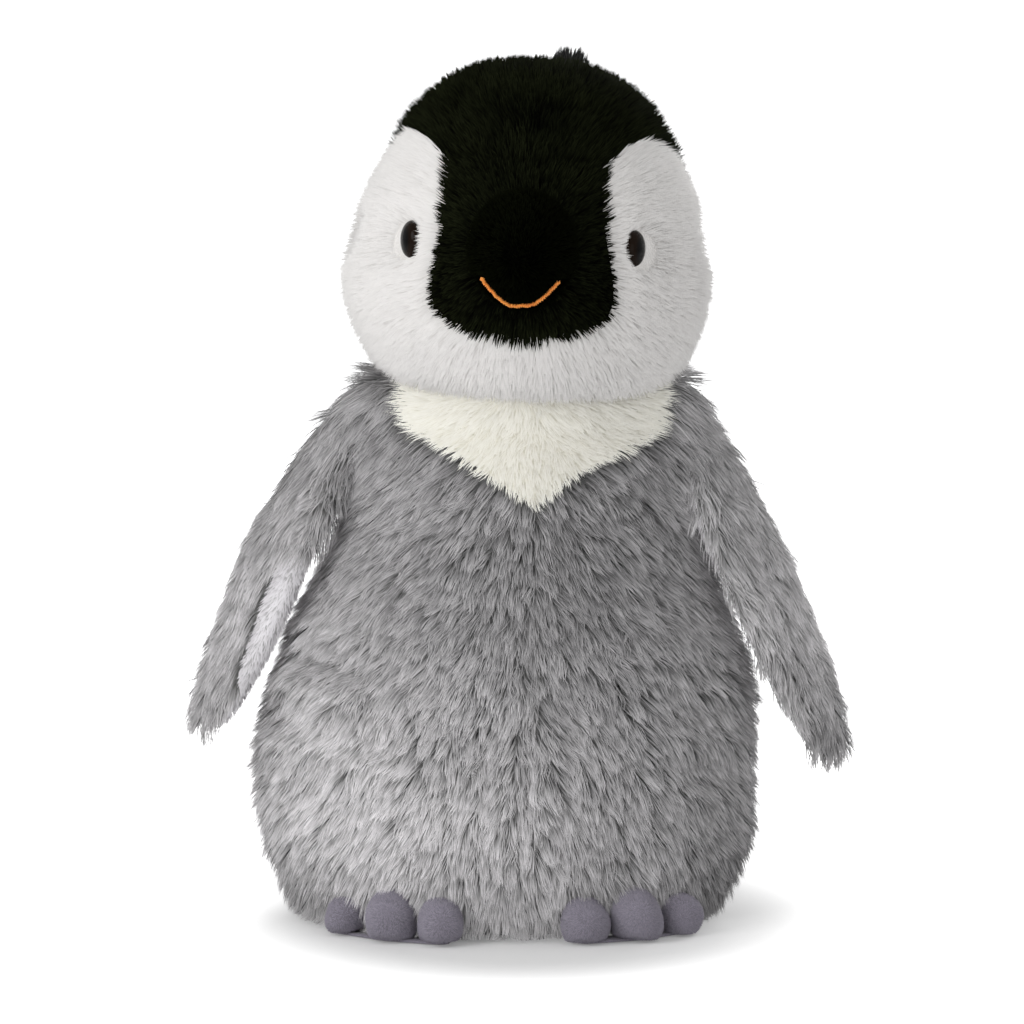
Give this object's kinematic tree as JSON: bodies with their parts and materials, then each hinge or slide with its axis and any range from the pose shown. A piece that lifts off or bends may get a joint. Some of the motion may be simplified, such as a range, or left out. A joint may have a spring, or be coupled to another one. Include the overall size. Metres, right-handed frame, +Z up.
{
  "type": "plush penguin chick",
  "caption": "Standing plush penguin chick: shaggy grey body and flippers, black hood and beak, white cheeks, ivory bib and mauve toes.",
  "frame": {"origin": "on the floor, under the middle of the whole toy", "axes": "+Z up from the base to the crown; the toy looks along -Y, with its left flipper at +X"},
  "size_m": [0.2232, 0.1671, 0.2906],
  "materials": {
    "grey_shag": "long shaggy pile, silver tips over darker roots",
    "black_pile": "medium soft pile, slightly brushed",
    "white_pile": "short dense pile",
    "ivory_pile": "short dense pile, warm ivory",
    "beak_plush": "very short black pile",
    "orange_cord": "stitched piping",
    "eye_plastic": "gloss",
    "washer_plastic": "matte",
    "lining_plush": "short smooth pile",
    "toe_velour": "velour",
    "base_cloth": "plain woven backing",
    "filling": "loose polyester fibre",
    "bean_cloth": "plain cloth bag of pellets",
    "label_tape": "blank satin tape"
  },
  "bodies": {
    "torso": {"belly_panel_left": "grey_shag", "belly_panel_right": "grey_shag", "back_panel_left": "grey_shag", "back_panel_right": "grey_shag", "bib": "ivory_pile", "base_panel": "base_cloth", "bean_pouch": "bean_cloth", "body_filling": "filling", "toe_inner_left": "toe_velour", "toe_middle_left": "toe_velour", "toe_outer_left": "toe_velour", "sole_left": "toe_velour", "toe_inner_right": "toe_velour", "toe_middle_right": "toe_velour", "toe_outer_right": "toe_velour", "sole_right": "toe_velour", "care_label": "label_tape"},
    "head": {"face_mask": "black_pile", "crown_left": "black_pile", "cheek_left": "white_pile", "eye_left": "eye_plastic", "eye_washer_left": "washer_plastic", "crown_right": "black_pile", "cheek_right": "white_pile", "eye_right": "eye_plastic", "eye_washer_right": "washer_plastic", "beak_upper": "beak_plush", "beak_lower": "beak_plush", "mouth_piping": "orange_cord", "head_filling": "filling"},
    "tail": {"tail_top": "grey_shag", "tail_underside": "grey_shag"},
    "flipper_left": {"flipper_outer_left": "grey_shag", "flipper_lining_left": "lining_plush", "flipper_filling_left": "filling"},
    "flipper_right": {"flipper_outer_right": "grey_shag", "flipper_lining_right": "lining_plush", "flipper_filling_right": "filling"}
  },
  "joints": [
    {"name": "head_turn", "type": "hinge", "parent": "torso", "child": "head", "pos_m": [0.0018, -0.005, 0.184], "axis": [0, 0, 1], "range_deg": [-25, 25], "stiffness_Nm_per_rad": 0.25},
    {"name": "flipper_left_lift", "type": "hinge", "parent": "torso", "child": "flipper_left", "pos_m": [0.0615, -0.005, 0.168], "axis": [0, -1, 0], "range_deg": [-4, 75], "stiffness_Nm_per_rad": 0.12},
    {"name": "flipper_right_lift", "type": "hinge", "parent": "torso", "child": "flipper_right", "pos_m": [-0.061, -0.005, 0.171], "axis": [0, 1, 0], "range_deg": [-4, 75], "stiffness_Nm_per_rad": 0.12},
    {"name": "tail_flex", "type": "hinge", "parent": "torso", "child": "tail", "pos_m": [-0.0055, 0.0575, 0.013], "axis": [1, 0, 0], "range_deg": [-8, 12], "stiffness_Nm_per_rad": 0.05}
  ]
}
